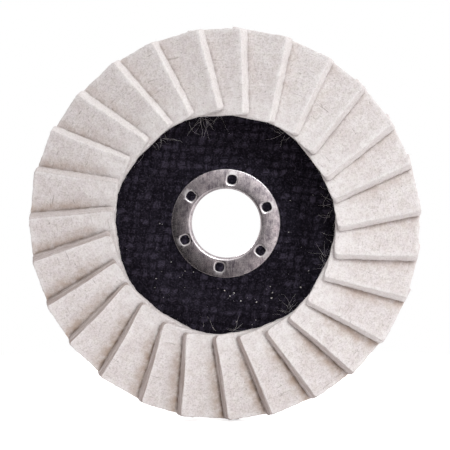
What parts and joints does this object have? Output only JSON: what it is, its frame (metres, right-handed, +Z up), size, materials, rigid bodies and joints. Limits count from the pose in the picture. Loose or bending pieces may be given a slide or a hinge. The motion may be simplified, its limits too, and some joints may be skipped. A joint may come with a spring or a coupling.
{
  "type": "felt polishing wheel",
  "caption": "Round felt flap polishing wheel for an angle grinder: overlapping wool felt flaps on a dished glass-cloth backing with a steel arbor ring.",
  "frame": {"origin": "centre of the arbor bore, in the plane of the hub's back mounting face", "axes": "the wheel stands on its rim: +Y is the bore axis and points out of the back, to the grinder; the felt work face looks to -Y; +Z is up and +X is to the right seen from the work side"},
  "size_m": [0.1244, 0.022, 0.1244],
  "materials": {
    "felt": "pressed wool felt, off-white, matt and slightly mottled",
    "glass_cloth": "black resin-bonded woven glass cloth with a dull sheen on the yarns",
    "resin_core": "black pressed glass and resin, seen only at the rim",
    "ring_steel": "plain pressed steel sheet, mottled and lightly scuffed",
    "adhesive": "cured amber resin adhesive"
  },
  "bodies": {
    "root": {"back_ply": "glass_cloth", "core_ply": "resin_core", "front_ply": "glass_cloth", "arbor_ring": "ring_steel", "adhesive_bed": "adhesive", "flap_01": "felt", "flap_02": "felt", "flap_03": "felt", "flap_04": "felt", "flap_05": "felt", "flap_06": "felt", "flap_07": "felt", "flap_08": "felt", "flap_09": "felt", "flap_10": "felt", "flap_11": "felt", "flap_12": "felt", "flap_13": "felt", "flap_14": "felt", "flap_15": "felt", "flap_16": "felt", "flap_17": "felt", "flap_18": "felt", "flap_19": "felt", "flap_20": "felt", "flap_21": "felt", "flap_22": "felt", "flap_23": "felt", "flap_24": "felt", "flap_25": "felt", "flap_26": "felt", "flap_27": "felt"}
  },
  "joints": []
}
